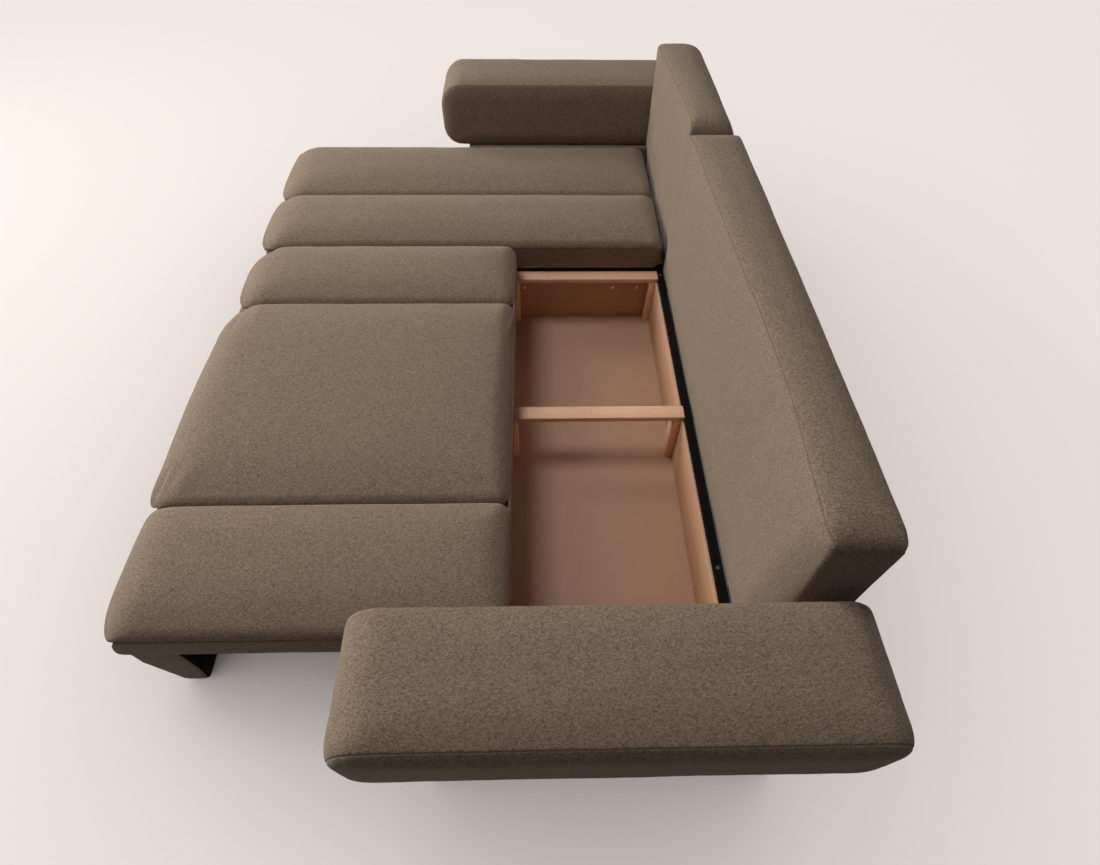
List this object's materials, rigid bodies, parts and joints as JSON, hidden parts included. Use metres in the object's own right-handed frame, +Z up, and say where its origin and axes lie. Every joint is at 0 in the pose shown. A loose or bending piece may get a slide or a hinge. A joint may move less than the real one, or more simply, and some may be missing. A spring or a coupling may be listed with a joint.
{
  "type": "corner storage sofa",
  "caption": "Corner sofa with chaise and padded arms; the main seat lifts on swing links and moves forward to open a wooden storage box.",
  "frame": {"origin": "centre of the sofa's plan outline, on the floor", "axes": "+X along the backs towards the main seat's arm, +Y towards the backs, +Z up; the chaise is at -X"},
  "size_m": [2.94, 1.826, 0.884],
  "materials": {
    "cloth": "brushed felt-like upholstery cloth over foam, warm taupe, matt",
    "cloth_board": "chipboard carcass boards covered with the same taupe cloth",
    "beech": "planed beech, clear and matt",
    "plywood": "thin light brown plywood, unvarnished",
    "hardboard": "dark brown board with a faint fibre texture",
    "softwood": "sawn softwood frame timber",
    "black_board": "board covered with black non-woven lining",
    "steel": "pressed steel, bare",
    "black_steel": "black powder-coated steel",
    "zinc": "zinc-plated steel, slightly dull",
    "rubber": "black moulded rubber"
  },
  "bodies": {
    "base": {"box_floor": "hardboard", "base_runners": "softwood", "box_rear_wall": "plywood", "box_front_wall": "plywood", "far_end_panel": "hardboard", "near_end_panel": "hardboard", "far_frame": "beech", "divider_frame": "beech", "near_frame": "beech", "end_panel_screws": "zinc", "back_beam": "black_board", "beam_screws": "zinc", "bay_front_board": "black_board", "link_plates": "steel", "link_plate_bolts": "zinc", "lower_pivot_pins": "zinc", "link_buffers": "rubber", "box_glides": "rubber", "chaise_side_boards": "black_board", "chaise_cross_boards": "softwood", "chaise_frame": "softwood", "chaise_springs": "steel", "chaise_border": "cloth", "chaise_inner_pad": "cloth", "chaise_outer_pad": "cloth", "chaise_plinth": "cloth", "chaise_glides": "rubber", "near_arm_base": "cloth_board", "near_arm_riser": "cloth_board", "near_arm_pad": "cloth", "far_arm_base": "cloth_board", "far_arm_riser": "cloth_board", "far_arm_pad": "cloth", "arm_bolts": "zinc", "arm_and_back_glides": "rubber", "main_back_pad": "cloth", "chaise_back_pad": "cloth", "back_rails": "softwood", "back_uprights": "softwood", "back_brackets": "steel", "back_bolts": "zinc", "main_back_cover": "cloth", "chaise_back_cover": "cloth"},
    "rear_links": {"rear_links": "black_steel"},
    "front_links": {"front_links": "black_steel"},
    "seat": {"seat_near_pad": "cloth", "seat_middle_pad": "cloth", "seat_far_pad": "cloth", "seat_side_rails": "softwood", "seat_cross_rails": "softwood", "seat_mid_boards": "softwood", "seat_springs": "steel", "seat_border": "cloth", "seat_plinth": "cloth", "plinth_glides": "rubber", "seat_brackets": "steel", "upper_pivot_pins": "zinc", "bracket_bolts": "zinc", "seat_buffers": "rubber"}
  },
  "joints": [
    {"name": "seat_swing", "type": "hinge", "parent": "base", "child": "rear_links", "pos_m": [0.331, 0.0381, 0.12], "axis": [-1, 0, 0], "range_deg": [0, 122.38]},
    {"name": "front_link_swing", "type": "hinge", "parent": "base", "child": "front_links", "pos_m": [0.331, -0.0919, 0.12], "axis": [-1, 0, 0], "range_deg": [0, 122.38]},
    {"name": "seat_level", "type": "hinge", "parent": "rear_links", "child": "seat", "pos_m": [0.331, -0.2619, 0.285], "axis": [-1, 0, 0], "range_deg": [-122.38, 0]}
  ],
  "couplings": [
    {"joint": "front_link_swing", "follows": "seat_swing", "ratio": 1},
    {"joint": "seat_level", "follows": "seat_swing", "ratio": -1}
  ]
}
